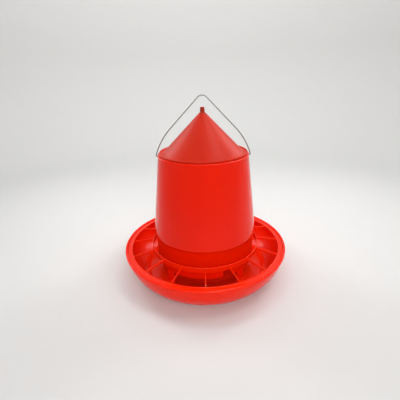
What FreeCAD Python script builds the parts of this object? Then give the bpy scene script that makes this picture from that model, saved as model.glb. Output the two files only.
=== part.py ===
"""Gravity poultry feeder: a pan with a feeding grille, a hopper that twists onto the pan,
a pointed lid and a wire bail.

Millimetres. +Z is up along the hopper's axis, and the origin is the centre of the pan's
base, on the floor. The bail lies in the XZ plane when it stands upright.

Radii are measured from the axis. A height is measured from the piece that it stands on,
so that the hopper follows the pan, and the lid and the bail follow the hopper's rim.
"""
import FreeCAD
import Part
import math
import os

# Pan
pan_rim_r = 205.0          # outer radius of the rolled rim
pan_height = 70.5
pan_wall = 2.6
pan_flare = 41.0           # how much further out the rim is than the foot
pan_foot_w = 13.0          # width of the ring that stands on the floor
pan_foot_h = 3.0           # height of the pan's floor above the foot
pan_foot_round = 4.0
pan_knee_in = 8.5          # corner between the lower and upper runs of the wall, in from the rim
pan_knee_h = 24.0
pan_knee_round = 92.0
pan_lip_w = 5.8            # width of the rolled rim
pan_lip_h = 7.0
pan_lip_round = 2.6
pan_lip_overhang = 1.5     # how far the rim stands out from the wall
pan_ledge_w = 4.0          # shoulder inside the rim that carries the grille
pan_ledge_edge_h = 1.2
pan_ledge_h = 5.2          # the ledge's height where it meets the wall
grille_sink = 5.2          # depth of the ledge below the rim
nib_count = 8              # snap nibs that hold the grille down
nib_arc = 9.0              # degrees
nib_reach = 1.4
nib_height = 1.2

# Feed-spreading cone and posts on the pan's floor
cone_in = 20.2             # from the posts to the foot of the cone
cone_h = 68.4
cone_top_round = 14.0
cone_foot_round = 12.0
post_count = 4
post_first = 45.0          # degrees from +X
post_arc = 11.0
post_wall = 4.0
post_round = 1.2
rib_w = 7.0                # rib behind each post
lug_h = 6.0
lug_rise = 16.0            # height of the lugs above the neck's lower edge
lug_reach = 2.6            # how far a lug stands out past the neck
lug_round = 0.8

# Grille
grille_outer_w = 11.2      # flat ring that lies on the pan's ledge
grille_wall = 2.4
grille_skirt_h = 1.6       # inner edge of the flat ring, below the ledge
bead_h = 1.0
bead_w = 2.4
hoop_out = 7.0             # middle of the inner hoop, out from the hopper's shoulder
hoop_w = 2.4
hoop_rise = 6.1            # top of the inner hoop above the pan's rim
hoop_h = 13.0
spoke_count = 16
spoke_w = 2.2
spoke_h = 6.6
spoke_sink = 0.6           # crest of a spoke below the top of the hoop

# Hopper
hopper_wall = 2.8
shoulder_r = 128.0
shoulder_rise = 40.5       # above the pan's rim
shoulder_drop = 5.0
shoulder_round = 3.4
neck_in = 4.5              # how much narrower the neck is than the shoulder
feed_gap = 32.4            # under the neck, above the pan's floor
barrel_h = 191.0
rim_r = 106.0
rim_w = 5.2
rim_bead = 0.6             # how far the rim's bead stands out from the wall
rim_bead_h = 4.2
rim_bevel_h = 1.8          # slope under the inside of the rim
twist = 20.0               # degrees between locked and free to lift

# Lid
lid_wall = 2.3
lid_h = 101.8              # from the lid's seat on the rim to the top of the nub
lid_cone_h = 96.8          # from the seat to where the sides of the cone would meet
lid_valley_h = 2.3         # flat valley round the foot of the cone, above the seat
lid_valley_w = 5.9
lid_lap = 1.6              # how far the edge reaches over the hopper's mouth
lid_edge_w = 2.9
lid_edge_h = 4.6
lid_ring_drop = 2.8        # how deep the locating ring reaches into the mouth
lid_draw_angle = 25.0      # degrees above level of the way the lid is drawn off
nub_r = 4.7
nub_root_r = 5.4

# Bail
wire_r = 1.25
pivot_drop = 7.5           # pivots below the rim's top
pivot_out = 5.5            # wire's corner out from the rim
bail_h = 139.9             # from the pivots to where the legs' upper runs would meet
bail_knee_in = 14.3        # bend of each leg, in from the wire's corner
bail_knee_h = 40.0
bail_bend_reach = 34.0     # how far the bend runs along the leg each way from the knee
bail_tip_round = 13.8
bail_corner_round = 4.0
hook_drop = 8.0            # length of the turned-down ends inside the hopper

# Roundings of small edges
fine_round = 0.5
edge_round = 0.8
step_round = 2.0

# Clearances
seat_gap = 0.2             # lid on rim
ring_gap = 0.8             # locating ring in the mouth
twist_gap = 0.5            # posts in the neck, lugs at the ends of their slots
lug_gap = 0.3              # above and below a lug
grille_gap = 0.5           # grille inside the rim
nib_gap = 0.2
pin_gap = 0.08             # wire in its holes
hook_gap = 3.0             # hook from the hopper's inner wall

FULL_TURN = 360.0
BITE = 0.5                 # how far a feature reaches into the wall that it grows from
UP = FreeCAD.Vector(0, 0, 1)
CENTRE = FreeCAD.Vector(0, 0, 0)

# Heights from the floor, and what one piece takes from another
pan_floor_z = pan_foot_h + pan_wall
lip_low_z = pan_height - pan_lip_h
lip_in_r = pan_rim_r - pan_lip_w
pan_wall_top_r = pan_rim_r - pan_lip_overhang
ledge_z = pan_height - grille_sink
grille_r = lip_in_r - grille_gap
bay_r = grille_r - grille_outer_w
grille_top_z = ledge_z + grille_wall
bead_top_z = grille_top_z + bead_h
hoop_r = shoulder_r + hoop_out
hoop_top_z = pan_height + hoop_rise
neck_r = shoulder_r - neck_in
neck_in_r = neck_r - hopper_wall
neck_low_z = pan_floor_z + feed_gap
shoulder_z = pan_height + shoulder_rise
rim_z = shoulder_z + barrel_h
mouth_r = rim_r - rim_w
post_r = neck_in_r - twist_gap
lug_z = neck_low_z + lug_rise
lug_top_z = lug_z + lug_h
lug_r = neck_r + lug_reach
slot_arc = post_arc + 2 * math.degrees(twist_gap / neck_r)
lid_seat_z = rim_z + seat_gap
lid_r = mouth_r + lid_lap
pivot_z = rim_z - pivot_drop
pivot_x = rim_r + pivot_out


def at(r, z):
    """A point in the XZ half-plane that the round parts are turned from."""
    return FreeCAD.Vector(r, 0, z)


def rounded_path(corners, closed):
    """Straight runs through the corners (r, z, rounding), with a tangent arc at each rounding."""
    points = [at(corner[0], corner[1]) for corner in corners]
    count = len(points)
    stops = []
    for i, corner in enumerate(corners):
        inner = closed or 0 < i < count - 1
        rounding = corner[2] if len(corner) > 2 and inner else 0.0
        if rounding == 0.0:
            stops.append([points[i]])
            continue
        before = (points[i - 1] - points[i]).normalize()
        after = (points[(i + 1) % count] - points[i]).normalize()
        half = before.getAngle(after) / 2
        reach = rounding / math.tan(half)
        middle = (before + after).normalize() * (rounding / math.sin(half) - rounding)
        stops.append([points[i] + before * reach, points[i] + middle, points[i] + after * reach])
    edges = []
    for i in range(count if closed else count - 1):
        if len(stops[i]) == 3:
            edges.append(Part.Arc(*stops[i]).toShape())
        start = stops[i][-1]
        end = stops[(i + 1) % count][0]
        if start.distanceToPoint(end) > Part.Precision.confusion():
            edges.append(Part.LineSegment(start, end).toShape())
    return Part.Wire(edges)


def turned(corners, degrees=FULL_TURN, start=0.0):
    """The solid that the closed outline sweeps about the Z axis."""
    face = Part.Face(rounded_path(corners, True))
    face.rotate(CENTRE, UP, start)
    return face.revolve(CENTRE, UP, degrees)


def square_ring(r_in, r_out, z_low, z_high, degrees, start):
    """A stretch of a ring with a square section."""
    return turned([(r_in, z_low), (r_out, z_low), (r_out, z_high), (r_in, z_high)], degrees, start)


def inset(corners, wall):
    """The same open run of corners moved sideways by the wall, to the left of its direction."""
    moved = []
    count = len(corners)
    for i, corner in enumerate(corners):
        normals = []
        for j in (i - 1, i):
            if 0 <= j < count - 1:
                run = (at(*corners[j + 1][:2]) - at(*corners[j][:2])).normalize()
                normals.append(FreeCAD.Vector(-run.z, 0, run.x))
        bisector = normals[0] + normals[-1]
        spot = at(*corner[:2]) + bisector * (2 * wall / bisector.dot(bisector))
        rounding = corner[2] if len(corner) > 2 else 0.0
        if rounding and len(normals) == 2:
            turn = normals[0].x * normals[1].z - normals[0].z * normals[1].x
            rounding = max(rounding - math.copysign(wall, turn), fine_round)
        moved.append((spot.x, spot.z, rounding))
    return moved


def shell(corners, wall):
    """A turned wall of even thickness: the corners run along one face, the wall lies to their left."""
    return turned(corners + inset(corners, wall)[::-1])


def feed_pan():
    """Bowl with a rolled rim, a ledge for the grille, a spreading cone and four lugged posts."""
    foot_r = pan_rim_r - pan_flare
    foot_in_r = foot_r - pan_foot_w
    cone_r = post_r - post_wall - cone_in
    cone_under_z = pan_floor_z + cone_h - pan_wall
    pan = shell([
        (0.0, cone_under_z),
        (cone_top_round, cone_under_z, cone_top_round),
        (cone_r, pan_foot_h, cone_foot_round),
        (foot_in_r - pan_foot_h, pan_foot_h, step_round),
        (foot_in_r, 0.0, step_round),
        (foot_r, 0.0, pan_foot_round),
        (pan_rim_r - pan_knee_in, pan_knee_h, pan_knee_round),
        (pan_wall_top_r, pan_height - pan_lip_h / 2),
    ], pan_wall)
    lip = turned([
        (lip_in_r, lip_low_z),
        (pan_wall_top_r - BITE, lip_low_z),
        (pan_rim_r, lip_low_z + pan_lip_overhang, edge_round),
        (pan_rim_r, pan_height, pan_lip_round),
        (lip_in_r, pan_height, step_round),
    ])
    ledge_r = lip_in_r - pan_ledge_w
    ledge = turned([
        (ledge_r, ledge_z),
        (ledge_r, ledge_z - pan_ledge_edge_h),
        (lip_in_r + BITE, ledge_z - pan_ledge_h),
        (lip_in_r + BITE, ledge_z),
    ])
    nibs = [nib((i + 0.5) * FULL_TURN / nib_count) for i in range(nib_count)]
    posts = [post(post_first + i * FULL_TURN / post_count) for i in range(post_count)]
    return pan.fuse([lip, ledge] + nibs + posts).removeSplitter()


def nib(angle):
    """A short ridge inside the rim, just above the grille."""
    low = grille_top_z + nib_gap
    return turned([
        (lip_in_r + BITE, low - nib_gap),
        (lip_in_r - nib_reach, low + nib_height / 2, fine_round),
        (lip_in_r + BITE, low + nib_height),
    ], nib_arc, angle - nib_arc / 2)


def post(angle):
    """One curved post from the floor, with a rib behind it and a lug that reaches through the neck."""
    start = angle - post_arc / 2
    back_r = post_r - post_wall
    root_z = pan_foot_h + BITE
    upright = turned([
        (back_r, root_z),
        (post_r, root_z),
        (post_r, lug_top_z, post_round),
        (back_r, lug_top_z, post_round),
    ], post_arc, start)
    rib_arc = post_arc / 4
    rib = turned([
        (back_r - rib_w, root_z),
        (back_r + BITE, root_z),
        (back_r + BITE, lug_z - lug_h),
    ], rib_arc, angle - rib_arc / 2)
    lug = turned([
        (post_r - BITE * 2, lug_z),
        (lug_r, lug_z, lug_round),
        (lug_r, lug_top_z, lug_round),
        (post_r - BITE * 2, lug_top_z - post_round),
    ], post_arc, start)
    return upright.fuse([rib, lug])


def feed_grille():
    """Flat outer ring, raised inner hoop and the spokes that part the feeding bays."""
    skirt_low_z = ledge_z - grille_skirt_h
    outer = turned([
        (bay_r, skirt_low_z, fine_round),
        (bay_r + bead_w, skirt_low_z, fine_round),
        (bay_r + bead_w, ledge_z),
        (grille_r, ledge_z),
        (grille_r, grille_top_z, edge_round),
        (bay_r + bead_w, grille_top_z, fine_round),
        (bay_r + bead_w - bead_h / 2, bead_top_z, fine_round),
        (bay_r, bead_top_z, edge_round),
    ])
    hoop_low_z = hoop_top_z - hoop_h
    hoop = turned([
        (hoop_r - hoop_w / 2, hoop_low_z, fine_round),
        (hoop_r + hoop_w / 2, hoop_low_z, fine_round),
        (hoop_r + hoop_w / 2, hoop_top_z, hoop_w * 0.45),
        (hoop_r - hoop_w / 2, hoop_top_z, hoop_w * 0.45),
    ])
    first = spoke()
    spokes = []
    for i in range(spoke_count):
        spokes.append(first.rotated(CENTRE, UP, i * FULL_TURN / spoke_count))
    return outer.fuse([hoop] + spokes).removeSplitter()


def spoke():
    """One thin rib from the hoop down to the outer ring, rounded along its crest."""
    crest_in_z = hoop_top_z - spoke_sink
    crest_out_z = bead_top_z - BITE
    end_r = bay_r + bead_w / 2
    side = Part.Face(rounded_path([
        (hoop_r, crest_in_z),
        (end_r, crest_out_z),
        (end_r, ledge_z - grille_skirt_h),
        (hoop_r, crest_in_z - spoke_h),
    ], True))
    side.translate(FreeCAD.Vector(0, -spoke_w / 2, 0))
    blade = side.extrude(FreeCAD.Vector(0, spoke_w, 0))
    low = min(crest_in_z, crest_out_z) - BITE
    crest = [edge for edge in blade.Edges if edge.BoundBox.ZMin > low and edge.BoundBox.XLength > hoop_w]
    return blade.makeFillet(spoke_w * 0.4, crest)


def hopper():
    """Tapered barrel with a beaded rim, bail holes, and a neck with four L-shaped slots."""
    wall_top_r = rim_r - rim_bead
    body = shell([
        (neck_r, neck_low_z),
        (neck_r, shoulder_z - shoulder_drop, shoulder_round),
        (shoulder_r, shoulder_z, shoulder_round),
        (wall_top_r, rim_z - edge_round),
    ], hopper_wall)
    bead_low_z = rim_z - rim_bead_h
    rim = turned([
        (mouth_r, bead_low_z + step_round, edge_round),
        (wall_top_r - hopper_wall / 2, bead_low_z - rim_bevel_h),
        (wall_top_r, bead_low_z),
        (rim_r, bead_low_z + BITE, edge_round),
        (rim_r, rim_z, step_round * 0.7),
        (mouth_r, rim_z, fine_round),
    ])
    body = body.fuse(rim)
    across = FreeCAD.Vector(1, 0, 0)
    holes = Part.makeCylinder(wire_r + pin_gap, 2 * shoulder_r, at(-shoulder_r, pivot_z), across)
    slot_low_z = lug_z - lug_gap
    slot_high_z = lug_top_z + lug_gap
    cuts = [holes]
    for i in range(post_count):
        entry = post_first + i * FULL_TURN / post_count - twist - slot_arc / 2
        r_in = neck_in_r - BITE
        r_out = neck_r + BITE
        cuts.append(square_ring(r_in, r_out, slot_low_z, slot_high_z, twist + slot_arc, entry))
        cuts.append(square_ring(r_in, r_out, neck_low_z - BITE, slot_high_z, slot_arc, entry))
    return body.cut(cuts).removeSplitter()


def lid():
    """Pointed cone with a nub, a beaded edge on the rim and a shallow ring inside the mouth."""
    edge_in_r = lid_r - lid_edge_w
    cone_r = edge_in_r - lid_valley_w
    tip_z = lid_seat_z + lid_cone_h
    valley_z = lid_seat_z + lid_valley_h
    edge_top_z = lid_seat_z + lid_edge_h
    lean = cone_r / (tip_z - valley_z)
    inner_tip_z = tip_z - lid_wall / math.sin(math.atan(lean))
    ring_low_z = lid_seat_z - lid_ring_drop
    ring_top_r = mouth_r - ring_gap
    ring_foot_r = ring_top_r - lid_ring_drop / math.tan(math.radians(lid_draw_angle))
    return turned([
        (0.0, lid_seat_z + lid_h),
        (nub_r, lid_seat_z + lid_h, edge_round),
        (nub_root_r, tip_z - nub_root_r / lean, step_round),
        (cone_r, valley_z, step_round),
        (edge_in_r, valley_z, edge_round),
        (edge_in_r + edge_round, edge_top_z, edge_round),
        (lid_r, edge_top_z, edge_round),
        (lid_r, lid_seat_z, fine_round),
        (ring_top_r, lid_seat_z),
        (ring_foot_r, ring_low_z),
        ((inner_tip_z - ring_low_z) * lean, ring_low_z),
        (0.0, inner_tip_z),
    ])


def bail():
    """One piece of round wire: two bowed legs, a tight crown and ends hooked through the rim."""
    hook_x = rim_r - rim_bead - hopper_wall - hook_gap
    corner = at(pivot_x, pivot_z)
    knee = at(pivot_x - bail_knee_in, pivot_z + bail_knee_h)
    top = at(0.0, pivot_z + bail_h)
    knee_round = bail_bend_reach * math.tan((corner - knee).getAngle(top - knee) / 2)
    half = [
        (hook_x, pivot_z - hook_drop),
        (hook_x, pivot_z, wire_r * 2),
        (corner.x, corner.z, bail_corner_round),
        (knee.x, knee.z, knee_round),
    ]
    mirrored = [(-bend[0],) + bend[1:] for bend in half[::-1]]
    crown = (top.x, top.z, bail_tip_round)
    path = rounded_path(half + [crown] + mirrored, False)
    end = Part.Wire(Part.makeCircle(wire_r, at(hook_x, pivot_z - hook_drop), UP))
    return path.makePipeShell([end], True, True)


SUB_PARTS = {
    "feed_pan": feed_pan,
    "feed_grille": feed_grille,
    "hopper": hopper,
    "lid": lid,
    "bail": bail,
}


def main():
    os.makedirs("parts", exist_ok=True)
    for name, make in SUB_PARTS.items():
        shape = make()
        state = "valid" if shape.isValid() else "NOT VALID"
        print(name, state, len(shape.Solids), "solid", round(shape.Volume / 1000, 1), "cm3")
        shape.exportStep(f"parts/{name}.step")


main()
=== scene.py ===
"""Looks of the gravity poultry feeder: moulded red plastic, a galvanised bail, soft studio light."""
import math
import bpy
from mathutils import Matrix, Vector

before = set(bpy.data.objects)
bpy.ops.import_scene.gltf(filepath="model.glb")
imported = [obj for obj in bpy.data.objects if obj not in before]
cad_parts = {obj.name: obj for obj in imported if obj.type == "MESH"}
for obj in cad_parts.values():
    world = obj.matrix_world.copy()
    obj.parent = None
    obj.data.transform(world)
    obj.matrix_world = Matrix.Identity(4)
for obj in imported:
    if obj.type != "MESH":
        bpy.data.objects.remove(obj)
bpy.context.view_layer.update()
scene = bpy.context.scene

# Studio: a round floor with a wall right round it, in metres
FLOOR_RADIUS = 2.0
WALL_SIDES = 96
WALL_HEIGHT = 2.4
WALL_ROUND = 0.7
WALL_ROUND_STEPS = 24
PAPER = (0.66, 0.66, 0.652)
PAPER_LIGHTER = 1.015      # how much lighter the paper's grain is in places
ROOM_COLOUR = (1.0, 0.998, 0.992, 1.0)
ROOM_LIGHT = 0.55          # comes in over the top of the wall

# Camera: where it stands, and how far it is turned down, round and over
CAMERA_PLACE = Vector((0.0, -0.6482, 0.4520))
CAMERA_DOWN = math.radians(22.56)
CAMERA_ROUND = math.radians(-0.894)
CAMERA_OVER = math.radians(-1.481)
SENSOR = 36.0
LENS = 25.29

# Lamps: place, what they point at, width and height, power in watts, beam in degrees
WIDE = 180.0
LAMPS = {
    "fill": ((0.15, -1.8, 1.15), (0.0, 0.05, 0.18), (1.5, 1.3), 6.1, 70.0),
    "key": ((0.75, -0.15, 1.75), (0.0, 0.0, 0.2), (0.5, 0.5), 6.0, WIDE),
    "wall": ((0.0, 0.6, 2.2), (0.0, 2.0, 0.7), (1.8, 0.8), 23.0, WIDE),
    "strip_left": ((-0.95, 0.72, 1.0), (0.0, 0.0, 0.25), (0.3, 0.9), 1.1, 80.0),
    "strip_right": ((0.95, 0.72, 1.0), (0.0, 0.0, 0.25), (0.3, 0.9), 1.1, 80.0),
}

# Moulded plastics, by piece: material, pigment, lighter pigment, roughness, stretch of the flow
# marks, surface reflection and, where the piece is coloured darker towards the top, the height from
# which it is
# Above this height the lid is coloured darker, towards the top of its nub
NUB_DARKER_ABOVE = 0.388
MOULDINGS = {
    "hopper": (
        "hopper_plastic", (0.79, 0.010, 0.0), (0.83, 0.013, 0.0), 0.05, (1, 1, 0.12), 0.17),
    "lid": (
        "lid_plastic", (0.50, 0.013, 0.001), (0.55, 0.018, 0.002), 0.38, (0.3, 0.3, 0.3), 0.15,
        NUB_DARKER_ABOVE),
    "feed_pan": (
        "pan_plastic", (0.90, 0.015, 0.001), (0.94, 0.019, 0.0015), 0.12, (1, 1, 0.3), 0.15),
    "feed_grille": (
        "grille_plastic", (0.88, 0.018, 0.001), (0.92, 0.023, 0.002), 0.13, (1, 1, 1), 0.2),
}
PLASTIC_IOR = 1.5
GLOW = 0.4                 # share of the light that spreads inside the plastic
GLOW_DEPTH = 0.007
GLOW_RED_GREEN_BLUE = (1.0, 0.12, 0.04)
DUST_COLOUR = (0.9, 0.55, 0.45)
DUST_SHARE = 0.025
TOP_DARKENING_FADE = 0.006         # height over which the darker colour comes in
# The darker brownish red that the top of the nub is coloured
TOP_DARK_COLOUR = (0.20, 0.030, 0.012)

# Galvanised wire
ZINC_IOR = 1.9
ZINC_DARK = (0.24, 0.24, 0.24)
ZINC_LIGHT = (0.36, 0.36, 0.365)
OXIDE_COLOUR = (0.26, 0.25, 0.24)
OXIDE_SHARE = 0.6

# A Mix node's sockets share their names, so its colours are reached by number
MIX_FACTOR = 0
MIX_FIRST = 6
MIX_SECOND = 7
MIX_RESULT = 2


# ---------------------------------------------------------------- shader helpers

class Value:
    """A number that varies over a surface. Arithmetic on it adds Math nodes."""

    def __init__(self, finish, socket):
        self.finish = finish
        self.socket = socket

    def _math(self, operation, *values):
        node = self.finish.node("ShaderNodeMath", {"operation": operation}, dict(enumerate(values)))
        return Value(self.finish, node.outputs[0])

    def __add__(self, other):
        return self._math("ADD", self, other)

    def __radd__(self, other):
        return self._math("ADD", other, self)

    def __sub__(self, other):
        return self._math("SUBTRACT", self, other)

    def __rsub__(self, other):
        return self._math("SUBTRACT", other, self)

    def __mul__(self, other):
        return self._math("MULTIPLY", self, other)

    def __rmul__(self, other):
        return self._math("MULTIPLY", other, self)


class Finish:
    """One material: node() adds any node, and the other methods are short names for common ones."""

    def __init__(self, name, **constants):
        self.material = bpy.data.materials.new(name)
        self.material.use_nodes = True
        self.tree = self.material.node_tree
        self.shader = self.tree.nodes["Principled BSDF"]
        self.coordinates = self.node("ShaderNodeTexCoord").outputs["Object"]
        for socket, value in constants.items():
            self.shader.inputs[socket.replace("_", " ")].default_value = value

    def node(self, kind, settings=None, values=None):
        """Adds a node: its settings first, then a value or a link for each socket."""
        made = self.tree.nodes.new(kind)
        for key, value in (settings or {}).items():
            setattr(made, key, value)
        for key, value in (values or {}).items():
            socket = made.inputs[key]
            if isinstance(value, Value):
                value = value.socket
            if isinstance(value, bpy.types.NodeSocket):
                self.tree.links.new(value, socket)
            else:
                socket.default_value = value
        return made

    def output(self, kind, settings, values, name=0):
        """One output of a new node, ready for arithmetic."""
        return Value(self, self.node(kind, settings, values).outputs[name])

    def height(self):
        """How high the point is above the floor, in metres."""
        return self.output("ShaderNodeSeparateXYZ", None, {"Vector": self.coordinates}, "Z")

    def stretched(self, scale):
        """The point's coordinates, each times its own factor; below 1 draws a pattern out."""
        mapping = self.node("ShaderNodeMapping", None, {"Vector": self.coordinates, "Scale": scale})
        return mapping.outputs[0]

    def noise(self, scale, detail=2.0, roughness=0.5, vector=None):
        """A cloudy pattern, finer as the scale goes up."""
        return self.output("ShaderNodeTexNoise", None, {
            "Vector": vector or self.coordinates,
            "Scale": scale,
            "Detail": detail,
            "Roughness": roughness,
        })

    def ramp(self, value, low, high):
        """Runs evenly from 0 to 1 as the value goes from low to high."""
        return self.output("ShaderNodeMapRange", {"clamp": True}, {
            "Value": value,
            "From Min": low,
            "From Max": high,
        })

    def blend(self, factor, first, second):
        """From the first colour to the second as the factor goes from 0 to 1."""
        first, second = (
            colour if isinstance(colour, bpy.types.NodeSocket) else (*colour, 1.0)
            for colour in (first, second))
        mix = self.node("ShaderNodeMix", {"data_type": "RGBA"}, {
            MIX_FACTOR: factor,
            MIX_FIRST: first,
            MIX_SECOND: second,
        })
        return mix.outputs[MIX_RESULT]

    def bump(self, height, distance, strength, onto=None):
        """Raises the surface by the height, on top of another bump where one is given."""
        values = {"Height": height, "Distance": distance, "Strength": strength}
        if onto is not None:
            values["Normal"] = onto
        return self.node("ShaderNodeBump", None, values).outputs[0]

    def feed(self, **links):
        """Links what varies to the shader and gives back the finished material."""
        for socket, value in links.items():
            source = value.socket if isinstance(value, Value) else value
            self.tree.links.new(source, self.shader.inputs[socket.replace("_", " ")])
        return self.material


# ---------------------------------------------------------------- finishes

def moulded_plastic(name, colour, lighter, rough, flow, reflection, darker_above=None):
    """Glossy injection-moulded plastic: pigment drift, flow marks, faint scuffs and orange peel."""
    f = Finish(
        name,
        IOR=PLASTIC_IOR,
        Specular_IOR_Level=reflection,
        Subsurface_Weight=GLOW,
        Subsurface_Scale=GLOW_DEPTH,
        Subsurface_Radius=GLOW_RED_GREEN_BLUE)
    drift = f.noise(7.0, 3.0, 0.55)
    streak = f.noise(26.0, 2.0, 0.6, f.stretched(flow))
    pigment = f.ramp(drift * 0.65 + streak * 0.35, 0.36, 0.64)
    base = f.blend(pigment, colour, lighter)
    if darker_above is not None:
        # Colours the piece darker from the given height up, patchily, fading in over a few
        # millimetres
        darkened = f.ramp(f.height(), darker_above, darker_above + TOP_DARKENING_FADE)
        base = f.blend(darkened * (0.35 + 0.5 * drift), base, TOP_DARK_COLOUR)
    dust = f.ramp(f.noise(160.0, 3.0, 0.6), 0.62, 0.78) * DUST_SHARE
    base = f.blend(dust, base, DUST_COLOUR)
    scuff = f.ramp(f.noise(420.0, 2.0, 0.7, f.stretched((1.0, 1.0, 0.06))), 0.66, 0.74)
    scuff = scuff * f.ramp(f.noise(18.0, 2.0), 0.48, 0.62)
    roughness = rough + 0.04 * drift + 0.14 * scuff + 0.03 * streak
    peel = f.noise(190.0, 1.0, 0.4)
    flow_marks = f.bump(streak, 0.0005, 0.25)
    skin = f.bump(peel, 0.00015, 0.16, flow_marks)
    scuffed_skin = f.bump(scuff, 0.00006, -0.5, skin)
    return f.feed(Base_Color=base, Roughness=roughness, Normal=scuffed_skin)


def galvanised_wire(name):
    """Zinc-coated steel wire: grey spangle, dull oxide patches and fine draw lines."""
    f = Finish(name, IOR=ZINC_IOR)
    spangle = f.output("ShaderNodeTexVoronoi", {"feature": "F1"}, {
        "Vector": f.coordinates,
        "Scale": 900.0,
    }, "Color")
    grey = f.output("ShaderNodeRGBToBW", None, {"Color": spangle})
    oxide = f.ramp(f.noise(260.0, 3.0, 0.6), 0.42, 0.66)
    base = f.blend(f.ramp(grey, 0.0, 1.0), ZINC_DARK, ZINC_LIGHT)
    base = f.blend(oxide * OXIDE_SHARE, base, OXIDE_COLOUR)
    roughness = 0.38 + 0.22 * oxide + 0.08 * grey
    metallic = 0.95 - 0.35 * oxide
    draw_lines = f.bump(f.noise(2600.0, 1.0, 0.5), 0.00004, 0.6)
    return f.feed(Base_Color=base, Roughness=roughness, Metallic=metallic, Normal=draw_lines)


def plain_paper(name, colour):
    """Matt studio paper with a faint grain."""
    f = Finish(name)
    grain = f.noise(30.0, 4.0, 0.6)
    lighter = [min(1.0, channel * PAPER_LIGHTER) for channel in colour]
    base = f.blend(f.ramp(grain, 0.3, 0.7), colour, lighter)
    return f.feed(Base_Color=base, Roughness=0.75 + 0.1 * grain)


# ---------------------------------------------------------------- studio

def make_camera():
    """The camera, turned by its three angles."""
    camera = bpy.data.objects.new("camera", bpy.data.cameras.new("camera"))
    scene.collection.objects.link(camera)
    bpy.context.scene.camera = camera
    camera.data.sensor_width = SENSOR
    camera.data.lens = LENS
    forward = Vector((
        math.sin(CAMERA_ROUND) * math.cos(CAMERA_DOWN),
        math.cos(CAMERA_ROUND) * math.cos(CAMERA_DOWN),
        -math.sin(CAMERA_DOWN)))
    right = forward.cross(Vector((0, 0, 1))).normalized()
    up = right.cross(forward)
    right_over = math.cos(CAMERA_OVER) * right + math.sin(CAMERA_OVER) * up
    up_over = math.cos(CAMERA_OVER) * up - math.sin(CAMERA_OVER) * right
    turn = Matrix((right_over, up_over, -forward)).transposed()
    camera.matrix_world = Matrix.Translation(CAMERA_PLACE) @ turn.to_4x4()


def make_sweep():
    """Round floor and a wall right round it in one pale sheet, with a soft corner between them."""
    bpy.ops.object.select_all(action="DESELECT")
    bpy.ops.mesh.primitive_circle_add(
        vertices=WALL_SIDES, radius=FLOOR_RADIUS, fill_type="NGON", location=(0, 0, 0))
    sweep = bpy.context.object
    sweep.name = "sweep"
    bpy.ops.object.mode_set(mode="EDIT")
    bpy.ops.mesh.select_mode(type="EDGE")
    bpy.ops.mesh.select_all(action="SELECT")
    bpy.ops.mesh.extrude_edges_move(TRANSFORM_OT_translate={"value": (0, 0, WALL_HEIGHT)})
    bpy.ops.object.mode_set(mode="OBJECT")
    corner = sweep.modifiers.new("corner", "BEVEL")
    corner.width = WALL_ROUND
    corner.segments = WALL_ROUND_STEPS
    corner.limit_method = "ANGLE"
    bpy.ops.object.modifier_apply(modifier=corner.name)
    bpy.ops.object.mode_set(mode="EDIT")
    bpy.ops.mesh.select_all(action="SELECT")
    bpy.ops.mesh.normals_make_consistent(inside=True)
    bpy.ops.object.mode_set(mode="OBJECT")
    bpy.ops.object.shade_smooth()
    sweep.data.materials.append(plain_paper("sweep_paper", PAPER))


def area_light(name, place, target, size, power, beam):
    """A soft lamp that isn't seen itself."""
    light = bpy.data.lights.new(name, "AREA")
    light.shape = "RECTANGLE"
    light.size, light.size_y = size
    light.energy = power
    light.spread = math.radians(beam)
    lamp = bpy.data.objects.new(name, light)
    scene.collection.objects.link(lamp)
    lamp.visible_camera = False
    lamp.location = place
    aim = Vector(target) - Vector(place)
    lamp.rotation_euler = aim.to_track_quat("-Z", "Y").to_euler()


def make_light():
    """Dim room light and five soft lamps."""
    world = bpy.data.worlds.new("studio")
    scene.world = world
    world.use_nodes = True
    background = world.node_tree.nodes["Background"]
    background.inputs["Color"].default_value = ROOM_COLOUR
    background.inputs["Strength"].default_value = ROOM_LIGHT
    for name, lamp in LAMPS.items():
        area_light(name, *lamp)
    scene.view_settings.view_transform = "Standard"
    scene.view_settings.look = "None"


# ---------------------------------------------------------------- the feeder

def dress(node, material):
    """Gives a carried-over piece its finish."""
    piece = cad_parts[node]
    piece.data.materials.clear()
    piece.data.materials.append(material)


def dress_all():
    """Plastic on the four mouldings, zinc on the bail."""
    for node, plastic in MOULDINGS.items():
        dress(node, moulded_plastic(*plastic))
    dress("bail", galvanised_wire("bail_wire"))


make_camera()
make_sweep()
make_light()
dress_all()
